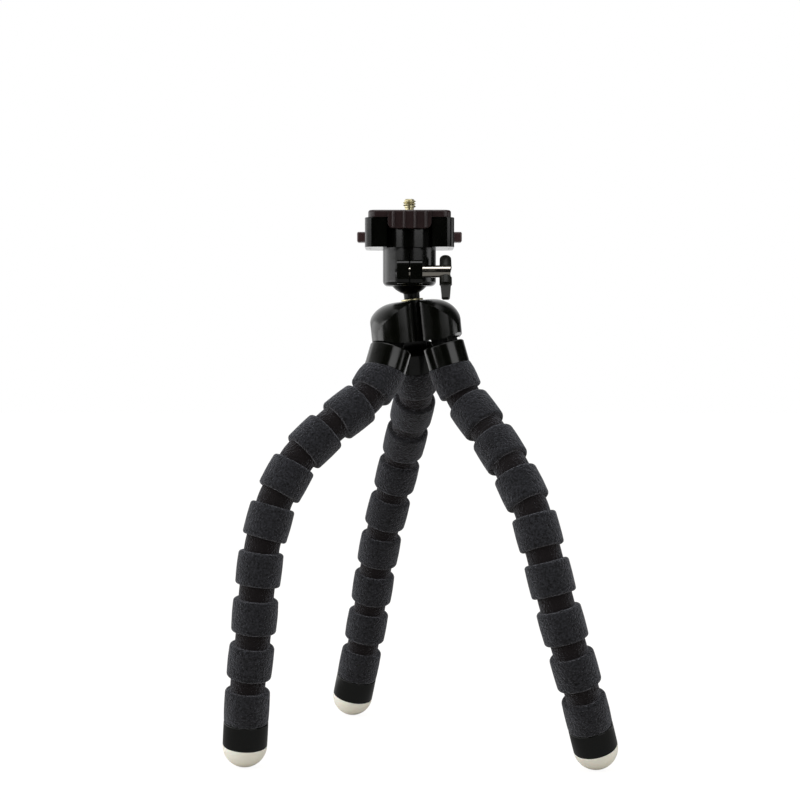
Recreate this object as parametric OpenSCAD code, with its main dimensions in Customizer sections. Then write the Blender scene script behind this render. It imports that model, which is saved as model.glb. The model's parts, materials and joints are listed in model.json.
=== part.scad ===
// A flexible leg tripod standing on a table: three bendable foam legs under a three-lobed hub,
// a ball joint held by a lever clamp, and a quick-release plate with a camera screw.
// Millimetres, +Z up, seen along +Y. The origin is on the table, straight under the ball.

/* [Pose] */
// Turn of the hub about its own axis, degrees
hub_turn = 4.5; // [-20:0.5:20]
// Splay of the left leg from the hub's axis, degrees
left_splay = 26; // [16:1:28]
// Splay of the right leg
right_splay = 11; // [6:1:24]
// Splay of the back leg
back_splay = 26; // [16:1:28]
// Outward bend of the left leg's foam where it leaves its socket, degrees
left_elbow = 18; // [4:1:22]
// The same bend of the right leg
right_elbow = 10; // [4:1:22]
// The same bend of the back leg
back_elbow = 12; // [4:1:22]
// Lean of the clamp lever, its lower end towards the front
lever_lean = 25; // [0:1:60]

/* [Foam legs] */
// Length of one foam ring
ring_len = 16.5; // [15.5:0.5:20]
// Length of the first foam ring, under the socket
first_ring_len = 14.6; // [14:0.2:20]
// Radius of a foam ring
ring_r = 11; // [10.8:0.1:12]
// Rounding of a ring's edges
ring_round = 1.8; // [1.2:0.1:1.8]
// Length of the groove between two rings
groove_len = 6.6; // [6.4:0.1:7.6]
// Radius of the foam in a groove
neck_r = 8.6; // [8.2:0.1:8.7]
// Radius of the wire inside a leg
wire_r = 1.6; // [1.2:0.1:1.8]
// Length of an end cap
cap_len = 12; // [9:0.5:16]

/* [Hub] */
// Radius of the circle on which the legs hang
leg_circle_r = 13.4; // [13.2:0.1:14.6]
// Radius of the circle on which the lobes' middles lie
lobe_circle_r = 12; // [11.6:0.1:12.6]
// Radius of one lobe of the hub
lobe_r = 12.3; // [12:0.1:13]
// Width of the slots between the lobes
slot_w = 4.6; // [3:0.2:6]
// Height of the hub
hub_h = 20.5; // [20:0.1:23]
// Height of the hub's domed shoulder
shoulder_drop = 17; // [14:0.5:18]
// Radius of a leg socket
socket_r = 10.5; // [10:0.1:10.8]
// Length of a leg socket
socket_len = 11.5; // [9:0.5:13]
// Radius of a leg's hinge pin
pin_r = 1.5; // [1.2:0.1:1.7]
// Furthest that a leg splays, degrees
splay_stop = 28; // [28:1:32]

/* [Ball joint] */
// Radius of the ball
ball_r = 11; // [10.6:0.1:11.3]
// Distance from the ball's centre down to the hub's top
stem_reach = 14.3; // [14.2:0.1:17]
// Radius of the stem under the ball
stem_r = 4; // [3.6:0.1:4.4]
// Radius of the clamp collar
collar_r = 13.4; // [13.3:0.1:14.2]
// Width across the clamp's two ears
ears_w = 12.6; // [12:0.2:14]
// Radius of the clamp screw's rod
rod_r = 3.05; // [2.8:0.05:3.2]
// Distance from the ball's centre out to the rod's end
rod_end = 20.2; // [20:0.1:24]

/* [Plate holder] */
// Width of the holder
holder_w = 44.4; // [44:0.2:50]
// Depth of the holder
holder_d = 36; // [35:0.5:42]
// Height of the holder
holder_h = 14.7; // [14.5:0.1:17]
// Half width of the notch in the holder's front
notch_w = 11.3; // [11.1:0.1:12]
// Radius of the column behind the notch
column_r = 15.5; // [15.2:0.1:15.7]
// How far a button stands out
button_out = 4.1; // [3.4:0.1:5]
// How far a button is pressed in
button_travel = 2.2; // [1.6:0.1:2.4]

/* [Release plate] */
// Width of the plate
plate_w = 41.1; // [40:0.1:46]
// Depth of the plate
plate_d = 37; // [36:0.5:40]
// Thickness of the plate
plate_h = 3.6; // [3.2:0.1:4.4]
// Width of the ribbed front tab
tab_w = 21.5; // [20:0.1:22]
// Height of the front tab, the plate's edge included
tab_h = 9.2; // [8:0.1:10]
// Ridges on the front tab
tab_ridges = 4; // [2:1:6]

/* [Hidden] */
$fn = 64;

// Bends of each leg in this pose, groove by groove from the hub: outwards, then sideways
left_out = [16, -7, -18, -14, -10, -4, 0, -3];
left_side = [-10, -2, 1, 1, -1, -4, -5, 2];
right_out = [18, -3, -9, -14, -4, -2, -4, -5];
right_side = [-15, -2, 5, 4, 5, 7, 8, 4];
back_out = [8, -6, -12, -5, -3, -2, -3, 2];
back_side = [10, 2, 4, 2, -3, -1, 2, 1];

// One entry per leg: its name, its direction from the hub, its splay, its elbow and its bends
LEGS = [
  ["left", 210 + hub_turn, left_splay, left_elbow, left_out, left_side],
  ["right", -30 + hub_turn, right_splay, right_elbow, right_out, right_side],
  ["back", 90 + hub_turn, back_splay, back_elbow, back_out, back_side],
];
leg_numbers = [0, 1, 2];
ring_count = 9;

// Clearances: of a pressed or screwed joint, a glued one, a turning one, a nut in its pocket,
// a sliding one and a loose one. Cutters and unions run over by the overlap.
press_gap = 0.02;
glue_gap = 0.05;
turning_gap = 0.05;
nut_gap = 0.2;
slide_gap = 0.15;
loose_gap = 0.3;
overlap = 1;

// Foam rings: each ends in a ball that sits in the next ring's cup
groove_half = groove_len / 2;
ring_pitch = ring_len + groove_len;
foam_gap = 0.4;
cup_r = neck_r + foam_gap;
bore_r = wire_r + foam_gap;
mouth_angle = 32;
mouth_slope = tan(mouth_angle);
mouth_root = sqrt(neck_r * neck_r * (1 + mouth_slope * mouth_slope) - bore_r * bore_r);
mouth_depth = (mouth_root - bore_r * mouth_slope) / (1 + mouth_slope * mouth_slope);
spigot_r = 5.8;
spigot_bore_r = 4.2;
socket_spigot = 4;
cap_spigot = 7;
arc_steps = 5;
ball_steps = 9;

// Sockets, caps and tips. The hinge lies above the hub's lower face, the socket below it.
hinge_above = 2.7;
socket_gap = 3;
hinge_to_socket = hinge_above + socket_gap;
socket_edge = 0.6;
tongue_in = 3.3;
tongue_out = 6;
tongue_neck = 11.8;
tongue_w = 12;
wire_in_socket = 7;
wire_in_cap = 3;
tip_r = ring_r;
tip_stud_r = 5;
tip_stud = 5;
wire_sides = 12;

// Hub, measured down from its top
crown_r = 8;
dome_fullness = 2.3;
core_r = 10;
hub_reach = lobe_circle_r + lobe_r + glue_gap;
hinge_drop = hub_h - hinge_above;
pocket_in = tongue_in + loose_gap;
pocket_out = tongue_out + loose_gap;
pocket_w = tongue_w + 2 * slide_gap;
stop_in = 2;
pin_len = 19;
shank_r = 3;
nut_top = 10;
nut_h = 5;
nut_flats = 10;
shank_past = 1.5;
shank_end = nut_top + nut_h + shank_past;
cover_h = 2.5;
cover_r = 8.6;
cover_screw_circle = 6.7;
cover_screw_r = 0.9;
cover_head_r = 1.5;
cover_screw_len = 4.5;
washer_r = 5.5;
washer_h = 1;

// Clamp, measured from the ball's centre
collar_low = -6.9;
collar_round = 2.5;
collar_roof = 1.1;
collar_top = ball_r + collar_roof;
slit_w = 0.7;
slit_top = 9;
ear_low = -6.1;
ear_high = 5.5;
ear_front = -21;
ear_round = 2.5;
rod_y = -15.5;
screw_r = 2.5;
clamp_nut_h = 3.6;
clamp_nut_flats = 8;
clamp_nut_in = 0.1;
lever_inset = 2.3;
lever_x = rod_end - lever_inset;
lever_back = 1.2;
lever_r = 3.1;
lever_top_r = 2.9;
lever_top = 9;
lever_top_round = 1.7;
lever_barrel_low = -6.6;
lever_low = -14.4;
blade_top_w = 5.4;
blade_low_w = 4.1;
blade_low_round = 0.7;
blade_t = 3;
cross_pin_r = 1.5;

// Holder and buttons, measured from the ball's centre
holder_low = collar_top;
holder_top = holder_low + holder_h;
holder_round = 4;
base_h = 2.5;
base_ledge = 1;
wall_t = 3.2;
channel_x = holder_w / 2 - wall_t;
channel_y = 7.7;
channel_low = holder_low + base_h;
channel_h = 6.3;
channel_top = channel_low + channel_h;
boss_inset = 8.2;
boss_x = holder_w / 2 - boss_inset;
rib_inset = 6;
rib_x = boss_x - rib_inset;
rib_y = 2;
boss_front = -8.5;
boss_back = 12;
web_t = 0.8;
boss_low = channel_top + web_t;
window_h = 3.2;
window_top = boss_low + window_h;
button_y = 4.9;
button_h = 5.1;
button_mid = (channel_low + channel_top) / 2;
button_round = 1;
flange_t = 1.5;
flange_x = channel_x - slide_gap;
flange_y = 7.4;
slider_h = 5.8;
arm_y = button_y + loose_gap;
hook_x = boss_x + loose_gap;
hook_t = channel_x - hook_x - button_travel - loose_gap;
hook_up = 3.2;
spring_wire_r = 0.3;
spring_r = 1.7;
spring_turns = 6;
spring_steps = 14;
spring_sides = 6;
holder_screw_x = 5;
holder_screw_y = 10;
holder_screw_r = 1.25;
holder_head_r = 2.2;
holder_head_h = 1.6;
holder_screw_end = 5.8;

// Plate and camera screw
plate_top = holder_top + plate_h;
plate_round = 4;
tab_front = -plate_d / 2 - 1;
tab_t = 3;
tab_round = 2.5;
ridge_r = 0.8;
ridge_pitch = tab_w / tab_ridges;
latch_up = 0.7;
latch_h = 2.6;
latch_deep = 1;
thread_r = 3.175;
thread_len = 4.3;
neck_len = 2.3;
screw_neck_r = 2.2;
screw_hole_r = 3.3;
screw_head_r = 6.4;
screw_head_h = 3;
head_play = 0.2;
screw_edge = 0.5;
coin_slot_w = 1.4;
coin_slot_deep = 1.2;

// Points along an arc in a flat outline
function arc(centre, r, from, to, steps) = [
  for (i = [0 : steps])
    let (a = from + (to - from) * i / steps)
      [centre.x + r * cos(a), centre.y + r * sin(a)]
];

// Outline of a rectangle w by d with rounded corners, about the origin
function rounded(w, d, r) = concat(
  arc([w / 2 - r, d / 2 - r], r, 0, 90, arc_steps),
  arc([r - w / 2, d / 2 - r], r, 90, 180, arc_steps),
  arc([r - w / 2, r - d / 2], r, 180, 270, arc_steps),
  arc([w / 2 - r, r - d / 2], r, 270, 360, arc_steps)
);

// Frames, as matrices
function turn_x(a) = [[1, 0, 0, 0], [0, cos(a), -sin(a), 0], [0, sin(a), cos(a), 0], [0, 0, 0, 1]];
function turn_y(a) = [[cos(a), 0, sin(a), 0], [0, 1, 0, 0], [-sin(a), 0, cos(a), 0], [0, 0, 0, 1]];
function turn_z(a) = [[cos(a), -sin(a), 0, 0], [sin(a), cos(a), 0, 0], [0, 0, 1, 0], [0, 0, 0, 1]];
function shift(v) = [[1, 0, 0, v.x], [0, 1, 0, v.y], [0, 0, 1, v.z], [0, 0, 0, 1]];
function origin_of(m) = [m[0][3], m[1][3], m[2][3]];
function column_of(m, i) = [m[0][i], m[1][i], m[2][i]];
function unit(v) = v / norm(v);

// The hub's frame has its origin at the ball's centre and its z axis up the stem.
// Under one lobe: x outwards, z up, origin on the hinge pin
hub_top = -stem_reach;
function lobe_frame(leg) = turn_z(LEGS[leg][1]) * shift([leg_circle_r, 0, hub_top - hinge_drop]);

// Frame of one link of a leg, x outwards and z back up the leg. Link 0 has its origin on the
// hinge pin, and every other link in the middle of the groove above it. The elbow lies between
// them, in the middle of the socket's lower face.
foam_start = hinge_to_socket + socket_len;
first_groove = first_ring_len + groove_half;
function elbow_frame(leg) =
  link_frame(leg, 0) * shift([0, 0, -foam_start]) * turn_y(-LEGS[leg][3]);
function groove_above(leg, link) =
  link == 1
    ? elbow_frame(leg) * shift([0, 0, -first_groove])
    : link_frame(leg, link - 1) * shift([0, 0, -ring_pitch]);
function link_frame(leg, link) =
  link == 0
    ? lobe_frame(leg) * turn_y(-LEGS[leg][2])
    : groove_above(leg, link)
      * turn_y(-LEGS[leg][4][link - 1])
      * turn_x(LEGS[leg][5][link - 1]);
tip_drop = groove_half + ring_len + cap_len;
function tip_frame(leg) = link_frame(leg, ring_count - 1) * shift([0, 0, -tip_drop]);

// The table is the plane under the three tips: it levels the hub and sets the ball's height
tips = [for (leg = leg_numbers) origin_of(tip_frame(leg))];
table_up = unit(cross(tips[1] - tips[0], tips[2] - tips[0]));
ball_height = tip_r - table_up * tips[0];

module standing() {
  translate([0, 0, ball_height])
    rotate(a = acos(table_up.z), v = cross(table_up, [0, 0, 1]))
      children();
}
module level() { translate([0, 0, ball_height]) children(); }
module on_hub() { standing() translate([0, 0, hub_top]) children(); }
module in_lobe(leg) { standing() multmatrix(lobe_frame(leg)) children(); }
module in_link(leg, link) { standing() multmatrix(link_frame(leg, link)) children(); }
module hexagon(flats, h) { cylinder(r = flats / 2 / cos(30), h = h, $fn = 6); }

// Legs

// Parts of a foam ring's outline, half of its section, from its top face down
upper_edge = arc([ring_r - ring_round, -ring_round], ring_round, 90, 0, arc_steps);
function lower_edge(length) =
  arc([ring_r - ring_round, ring_round - length], ring_round, 0, -90, arc_steps);
cup_outline = arc(
  [0, groove_half], cup_r, asin(bore_r / cup_r) - 90, -asin(groove_half / cup_r), ball_steps
);
function ball_outline(length) = concat(
  [[neck_r, -length]],
  arc([0, -length - groove_half], neck_r, 0, -asin(mouth_depth / neck_r), ball_steps),
  [[bore_r, -length - groove_half]]
);
spigot_seat_r = spigot_r + glue_gap;
cap_seat_end = cap_spigot + glue_gap - ring_len;
cap_outline = [[spigot_seat_r, -ring_len], [spigot_seat_r, cap_seat_end], [bore_r, cap_seat_end]];

// The first ring leaves its socket at the elbow, and its top is cut level with the socket's face
module first_ring(leg) {
  over = ring_r * tan(LEGS[leg][3]) + overlap;
  color("#2c2d31")
    standing()
      difference() {
        multmatrix(elbow_frame(leg) * turn_z(90))
          rotate_extrude()
            polygon(concat(
              [[bore_r, over], [ring_r, over]],
              lower_edge(first_ring_len),
              ball_outline(first_ring_len)
            ));
        multmatrix(link_frame(leg, 0) * shift([0, 0, -foam_start]))
          union() {
            translate([-2 * ring_r, -2 * ring_r, 0])
              cube(4 * ring_r);
            translate([0, 0, -socket_spigot - glue_gap])
              cylinder(r = spigot_seat_r, h = socket_spigot + glue_gap + overlap);
          }
      }
}

module foam_ring(leg, ring) {
  lower = ring == ring_count ? cap_outline : ball_outline(ring_len);
  color("#2c2d31")
    in_link(leg, ring - 1)
      translate([0, 0, -groove_half])
        rotate_extrude()
          polygon(concat(cup_outline, upper_edge, lower_edge(ring_len), lower));
}

// The round knuckle that goes up into the hub, flat on the side of the hub's axis
module socket_tongue() {
  neck = hinge_to_socket + overlap;
  intersection() {
    union() {
      rotate([90, 0, 0])
        cylinder(r = tongue_out, h = tongue_w, center = true);
      translate([-tongue_neck / 2, -tongue_w / 2, -neck])
        cube([tongue_neck, tongue_w, neck]);
    }
    translate([-tongue_in, -tongue_w, -neck - overlap])
      cube([2 * tongue_out, 2 * tongue_w, neck + 2 * tongue_out]);
  }
}

module leg_socket(leg) {
  spigot_end = -socket_len - socket_spigot;
  color("#17170f")
    in_link(leg, 0)
      difference() {
        union() {
          translate([0, 0, -hinge_to_socket])
            rotate_extrude()
              polygon([
                [0, 0],
                [socket_r - socket_edge, 0],
                [socket_r, -socket_edge],
                [socket_r, -socket_len],
                [spigot_r, -socket_len],
                [spigot_r, spigot_end],
                [spigot_bore_r, spigot_end],
                [spigot_bore_r, overlap - socket_len],
                [0, overlap - socket_len],
              ]);
          socket_tongue();
        }
        rotate([90, 0, 0])
          cylinder(r = pin_r + turning_gap, h = tongue_w + overlap, center = true);
        translate([0, 0, -foam_start])
          cylinder(r = wire_r + glue_gap, h = wire_in_socket);
      }
}

// The cap's frame: origin in the middle of its lower face, where the tip's centre is
module in_cap(leg) { standing() multmatrix(tip_frame(leg)) children(); }

module end_cap(leg) {
  color("#17170f")
    in_cap(leg)
      rotate_extrude()
        polygon([
          [0, tip_stud + glue_gap],
          [tip_stud_r + glue_gap, tip_stud + glue_gap],
          [tip_stud_r + glue_gap, 0],
          [ring_r, 0],
          [ring_r, cap_len],
          [spigot_r, cap_len],
          [spigot_r, cap_len + cap_spigot],
          [wire_r + glue_gap, cap_len + cap_spigot],
          [wire_r + glue_gap, cap_len - wire_in_cap - glue_gap],
          [0, cap_len - wire_in_cap - glue_gap],
        ]);
}

module foot_tip(leg) {
  color("#e9e6dc")
    in_cap(leg)
      union() {
        difference() {
          sphere(r = tip_r);
          translate([-tip_r - overlap, -tip_r - overlap, 0])
            cube(2 * (tip_r + overlap));
        }
        translate([0, 0, -overlap])
          cylinder(r = tip_stud_r, h = tip_stud + overlap);
      }
}

// Stations of the wire: in the socket, at the elbow, at each groove, and in the cap
wire_end = ring_count + 1;
function wire_frame(leg, i) =
  i == 0 ? link_frame(leg, 0) : i == 1 ? elbow_frame(leg) : link_frame(leg, i - 1);
function wire_point(leg, i) =
  i == 0
    ? origin_of(link_frame(leg, 0) * shift([0, 0, wire_in_socket - foam_start]))
    : i == wire_end
      ? origin_of(tip_frame(leg) * shift([0, 0, cap_len - wire_in_cap]))
      : origin_of(wire_frame(leg, i));

// One ring of the wire's points, mitred between the length above the station and the one below
function wire_ring(leg, i) =
  let (
    above = wire_frame(leg, max(i - 1, 0)),
    below = wire_frame(leg, min(i, wire_end - 1)),
    along = column_of(above, 2),
    mitre = unit(along + column_of(below, 2))
  )
  [
    for (k = [0 : wire_sides - 1])
      let (
        a = 360 * k / wire_sides,
        spoke = wire_r * (cos(a) * column_of(above, 0) + sin(a) * column_of(above, 1))
      )
        wire_point(leg, i) + spoke - along * ((spoke * mitre) / (along * mitre))
  ];

// A closed tube through rings of points, each with the same number of sides
module tube_through(rings, sides) {
  points = [for (ring = rings) each ring];
  last = len(rings) - 1;
  walls = [
    for (i = [0 : last - 1], k = [0 : sides - 1])
      let (n = (k + 1) % sides)
        [i * sides + k, i * sides + n, (i + 1) * sides + n, (i + 1) * sides + k]
  ];
  start = [for (k = [0 : sides - 1]) sides - 1 - k];
  end = [for (k = [0 : sides - 1]) last * sides + k];
  polyhedron(points = points, faces = concat(walls, [start, end]));
}

module core_wire(leg) {
  color("#8d9094")
    standing()
      tube_through([for (i = [0 : wire_end]) wire_ring(leg, i)], wire_sides);
}

// Hub

dome_steps = 16;
dome_power = 2 / dome_fullness;
dome_side = [
  for (i = [0 : dome_steps])
    let (a = 90 - 90 * i / dome_steps)
      [
        crown_r + (hub_reach - crown_r) * pow(cos(a), dome_power),
        -shoulder_drop * (1 - pow(sin(a), dome_power))
      ]
];
hub_outline = concat([[0, 0]], dome_side, [[hub_reach, -hub_h], [0, -hub_h]]);
cover_screw_turns = [for (leg = leg_numbers) LEGS[leg][1] + 60];

// Three round lobes with a slot between each two
module hub_lobes() {
  translate([0, 0, -hub_h - overlap])
    linear_extrude(hub_h + 2 * overlap)
      union() {
        circle(r = core_r);
        difference() {
          union() {
            for (leg = leg_numbers)
              rotate(LEGS[leg][1])
                translate([lobe_circle_r, 0])
                  circle(r = lobe_r);
          }
          for (leg = leg_numbers)
            rotate(LEGS[leg][1] + 60)
              translate([0, -slot_w / 2])
                square([hub_reach + overlap, slot_w]);
        }
      }
}

// The side from which each pin is driven in, away from the front
pin_sides = [-1, 1, 1];

// Section of the room in which a tongue swings about its pin, from upright out to the stop
half_swing = tan(splay_stop / 2);
function swung(p) = [
  p.x * cos(splay_stop) - p.y * sin(splay_stop),
  p.x * sin(splay_stop) + p.y * cos(splay_stop)
];
pocket_outline = [
  [-pocket_in, -hinge_to_socket],
  [-pocket_in, -pocket_in * half_swing],
  swung([-pocket_in, pocket_out]),
  [-pocket_out * half_swing, pocket_out],
  [pocket_out, pocket_out],
  [pocket_out, pocket_out * half_swing],
  swung([pocket_out, -hinge_to_socket - overlap]),
];

// Room for one leg's tongue, its pin and its swing out to the stop, about the hinge
module lobe_room() {
  rotate([90, 0, 0])
    linear_extrude(pocket_w, center = true)
      polygon(pocket_outline);
  translate([0, -pin_len / 2 - glue_gap, 0])
    rotate([-90, 0, 0])
      cylinder(r = pin_r + press_gap, h = pin_len / 2 + lobe_r + overlap);
  rotate([0, -splay_stop, 0])
    translate([-stop_in, -lobe_r - overlap, loose_gap - hinge_to_socket - lobe_r])
      cube([2 * lobe_r, 2 * (lobe_r + overlap), lobe_r]);
}

module hub_shell() {
  color("#191a12")
    on_hub()
      difference() {
        intersection() {
          rotate_extrude()
            polygon(hub_outline);
          hub_lobes();
        }
        for (leg = leg_numbers)
          rotate([0, 0, LEGS[leg][1]])
            translate([leg_circle_r, 0, -hinge_drop])
              mirror([0, pin_sides[leg] < 0 ? 1 : 0, 0])
                lobe_room();
        translate([0, 0, -hub_h - overlap])
          cylinder(r = shank_r + turning_gap, h = hub_h + 2 * overlap);
        translate([0, 0, -hub_h - overlap])
          rotate([0, 0, cover_screw_turns[0] + 30])
            hexagon(nut_flats + nut_gap, hub_h + overlap - nut_top);
        translate([0, 0, -hub_h - overlap])
          cylinder(r = cover_r + glue_gap, h = cover_h + overlap);
        for (turn = cover_screw_turns)
          rotate([0, 0, turn])
            translate([cover_screw_circle, 0, -hub_h])
              cylinder(r = cover_screw_r + press_gap, h = cover_h + cover_screw_len + glue_gap);
      }
}

module leg_pins() {
  color("#9a9c9e")
    for (leg = leg_numbers)
      in_lobe(leg)
        rotate([90, 0, 0])
          cylinder(r = pin_r, h = pin_len, center = true);
}

module stud_washer() {
  color("#b9a15c")
    on_hub()
      difference() {
        cylinder(r = washer_r, h = washer_h);
        translate([0, 0, -overlap])
          cylinder(r = shank_r + turning_gap, h = washer_h + 2 * overlap);
      }
}

module stud_nut() {
  color("#a7a9aa")
    on_hub()
      translate([0, 0, -nut_top - nut_h])
        rotate([0, 0, cover_screw_turns[0] + 30])
          difference() {
            hexagon(nut_flats, nut_h);
            translate([0, 0, -overlap])
              cylinder(r = shank_r + turning_gap, h = nut_h + 2 * overlap);
          }
}

// One countersunk screw hanging from its head's face, pointing up
module cover_screw(gap) {
  cylinder(r1 = cover_head_r + gap, r2 = cover_screw_r + gap, h = cover_head_r - cover_screw_r);
  cylinder(r = cover_screw_r + gap, h = cover_h + cover_screw_len);
}

module at_cover_screws() {
  on_hub()
    for (turn = cover_screw_turns)
      rotate([0, 0, turn])
        translate([cover_screw_circle, 0, -hub_h])
          children();
}

module hub_cover() {
  color("#191a12")
    difference() {
      on_hub()
        translate([0, 0, -hub_h])
          cylinder(r = cover_r, h = cover_h);
      at_cover_screws()
        cover_screw(press_gap);
    }
}

module cover_screws() {
  color("#9a9c9e")
    at_cover_screws()
      cover_screw(0);
}

// Ball joint

module ball_stud() {
  shoulder = hub_top + washer_h + glue_gap;
  color("#1a1a18")
    standing()
      union() {
        sphere(r = ball_r);
        translate([0, 0, shoulder])
          cylinder(r = stem_r, h = -shoulder);
        translate([0, 0, hub_top - shank_end])
          cylinder(r = shank_r, h = shank_end - hub_top);
      }
}

ear_outline = concat(
  [[0, ear_low]],
  arc([ear_front + ear_round, ear_low + ear_round], ear_round, 270, 180, arc_steps),
  arc([ear_front + ear_round, ear_high - ear_round], ear_round, 180, 90, arc_steps),
  [[0, ear_high]]
);

collar_outline = concat(
  [[0, collar_low]],
  arc([collar_r - collar_round, collar_low + collar_round], collar_round, 270, 360, arc_steps),
  [[collar_r, collar_top], [0, collar_top]]
);

// Along +X through the ears, from x0 to x1 on the rod's axis
module along_rod(x0, x1, r) {
  translate([x0, rod_y, 0])
    rotate([0, 90, 0])
      cylinder(r = r, h = x1 - x0);
}

module clamp_nut_room(gap) {
  translate([clamp_nut_in - ears_w / 2, rod_y, 0])
    rotate([0, 90, 0])
      rotate([0, 0, 30])
        hexagon(clamp_nut_flats + gap, clamp_nut_h);
}

module at_holder_screws() {
  for (side = [-1, 1])
    translate([side * holder_screw_x, holder_screw_y, 0])
      children();
}

module ball_clamp() {
  color("#16170f")
    level()
      difference() {
        union() {
          rotate_extrude()
            polygon(collar_outline);
          translate([-ears_w / 2, 0, 0])
            rotate([90, 0, 90])
              linear_extrude(ears_w)
                polygon(ear_outline);
        }
        sphere(r = ball_r + turning_gap);
        translate([-slit_w / 2, ear_front - overlap, collar_low - overlap])
          cube([slit_w, -ear_front + overlap, slit_top - collar_low + overlap]);
        along_rod(-ears_w / 2 - overlap, ears_w / 2 + overlap, screw_r + slide_gap);
        clamp_nut_room(nut_gap);
        translate([-overlap, 0, 0])
          clamp_nut_room(nut_gap);
        at_holder_screws()
          translate([0, 0, holder_screw_end - glue_gap])
            cylinder(r = holder_screw_r + press_gap, h = collar_top - holder_screw_end + overlap);
      }
}

module clamp_nut() {
  color("#a7a9aa")
    level()
      difference() {
        clamp_nut_room(0);
        along_rod(-ears_w / 2 - overlap, 0, screw_r + turning_gap);
      }
}

module clamp_screw() {
  seat = ears_w / 2 + glue_gap;
  color("#c9c3b4")
    level()
      difference() {
        union() {
          along_rod(-ears_w / 2, seat + overlap, screw_r);
          along_rod(seat, rod_end, rod_r);
        }
        lever_frame()
          cylinder(r = cross_pin_r + press_gap, h = 4 * rod_r, center = true);
      }
}

// The lever's frame: z up the lever, its axis a little behind the rod's
module lever_frame() {
  translate([lever_x, rod_y, 0])
    rotate([-lever_lean, 0, 0])
      translate([0, lever_back, 0])
        children();
}

lever_outline = concat(
  [[0, lever_barrel_low], [lever_r, lever_barrel_low], [lever_r, 0]],
  arc([lever_top_r - lever_top_round, lever_top - lever_top_round], lever_top_round, 0, 90, arc_steps),
  [[0, lever_top]]
);
blade_outline = [
  [-blade_top_w / 2, lever_barrel_low + overlap],
  [-blade_low_w / 2, lever_low + blade_low_round],
  [blade_low_round - blade_low_w / 2, lever_low],
  [blade_low_w / 2 - blade_low_round, lever_low],
  [blade_low_w / 2, lever_low + blade_low_round],
  [blade_top_w / 2, lever_barrel_low + overlap],
];

module clamp_lever() {
  color("#20211b")
    level()
      union() {
        difference() {
          lever_frame()
            union() {
              rotate_extrude()
                polygon(lever_outline);
              translate([0, blade_t / 2, 0])
                rotate([90, 0, 0])
                  linear_extrude(blade_t)
                    polygon(blade_outline);
            }
          along_rod(0, 2 * rod_end, rod_r + press_gap);
        }
        lever_frame()
          cylinder(r = cross_pin_r, h = 2 * rod_r + overlap, center = true);
      }
}

// Holder and its release

// Two wings, and between them a round column behind the notch
module holder_outline() {
  difference() {
    polygon(rounded(holder_w, holder_d, holder_round));
    translate([-notch_w, -holder_d])
      square([2 * notch_w, holder_d]);
  }
  intersection() {
    circle(r = column_r);
    translate([-notch_w - overlap, -holder_d])
      square([2 * (notch_w + overlap), holder_d + overlap]);
  }
}

// Room inside the holder for the plate's boss, the two sliders and their hooks
module holder_room() {
  translate([-boss_x - loose_gap, boss_front - loose_gap, boss_low])
    cube([2 * (boss_x + loose_gap), boss_back - boss_front + 2 * loose_gap, holder_h]);
  difference() {
    translate([-channel_x, -channel_y, channel_low - overlap])
      cube([2 * channel_x, 2 * channel_y, channel_h + overlap]);
    translate([-rib_x, -rib_y, channel_low])
      cube([2 * rib_x, 2 * rib_y, channel_h]);
  }
  translate([-channel_x - base_ledge, -channel_y - base_ledge, holder_low - overlap])
    cube([2 * (channel_x + base_ledge), 2 * (channel_y + base_ledge), base_h + overlap]);
  for (side = [-1, 1])
    rotate([0, 0, side < 0 ? 180 : 0])
      translate([boss_x - overlap, arm_y - slide_gap, channel_low])
        cube([channel_x - boss_x + overlap, channel_y - arm_y + slide_gap, window_top - channel_low]);
  translate([-holder_w, -button_y - slide_gap, button_mid - button_h / 2 - slide_gap])
    cube([2 * holder_w, 2 * (button_y + slide_gap), button_h + 2 * slide_gap]);
}

module plate_holder() {
  color("#121308")
    level()
      union() {
        difference() {
          translate([0, 0, holder_low])
            linear_extrude(holder_h)
              holder_outline();
          holder_room();
          at_holder_screws()
            holder_screw(turning_gap);
        }
        translate([-rib_x, -rib_y, channel_low])
          cube([2 * rib_x, 2 * rib_y, channel_h + web_t / 2]);
      }
}

module holder_base() {
  color("#121308")
    level()
      translate([-channel_x - base_ledge + glue_gap, -channel_y - base_ledge + glue_gap, holder_low])
        cube([
          2 * (channel_x + base_ledge - glue_gap),
          2 * (channel_y + base_ledge - glue_gap),
          base_h,
        ]);
}

// One screw that stands in the holder's floor, its head up
module holder_screw(gap) {
  translate([0, 0, boss_low - holder_head_h])
    cylinder(r = holder_head_r + gap, h = holder_head_h + gap);
  translate([0, 0, holder_screw_end])
    cylinder(r = holder_screw_r + gap, h = boss_low - holder_screw_end - holder_head_h + gap);
}

module holder_screws() {
  color("#9a9c9e")
    level()
      at_holder_screws()
        holder_screw(0);
}

// A button on the right-hand side. Its arm runs across the holder to a hook on the left,
// so that pressing the button draws the hook out of the plate's boss.
module release_button(side) {
  low = button_mid - slider_h / 2;
  far = hook_x + hook_t;
  color("#3a2626")
    level()
      rotate([0, 0, side < 0 ? 180 : 0])
        union() {
          translate([flange_x, 0, button_mid])
            rotate([90, 0, 90])
              linear_extrude(holder_w / 2 - flange_x + button_out)
                polygon(rounded(2 * button_y, button_h, button_round));
          translate([flange_x - flange_t, -flange_y, low])
            cube([flange_t, flange_y + button_y, slider_h]);
          translate([-far, -flange_y, low])
            cube([far + channel_x - flange_t, flange_y - arm_y, slider_h]);
          translate([-far, -flange_y, low])
            cube([hook_t, flange_y - arm_y, slider_h + hook_up]);
        }
}

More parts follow.
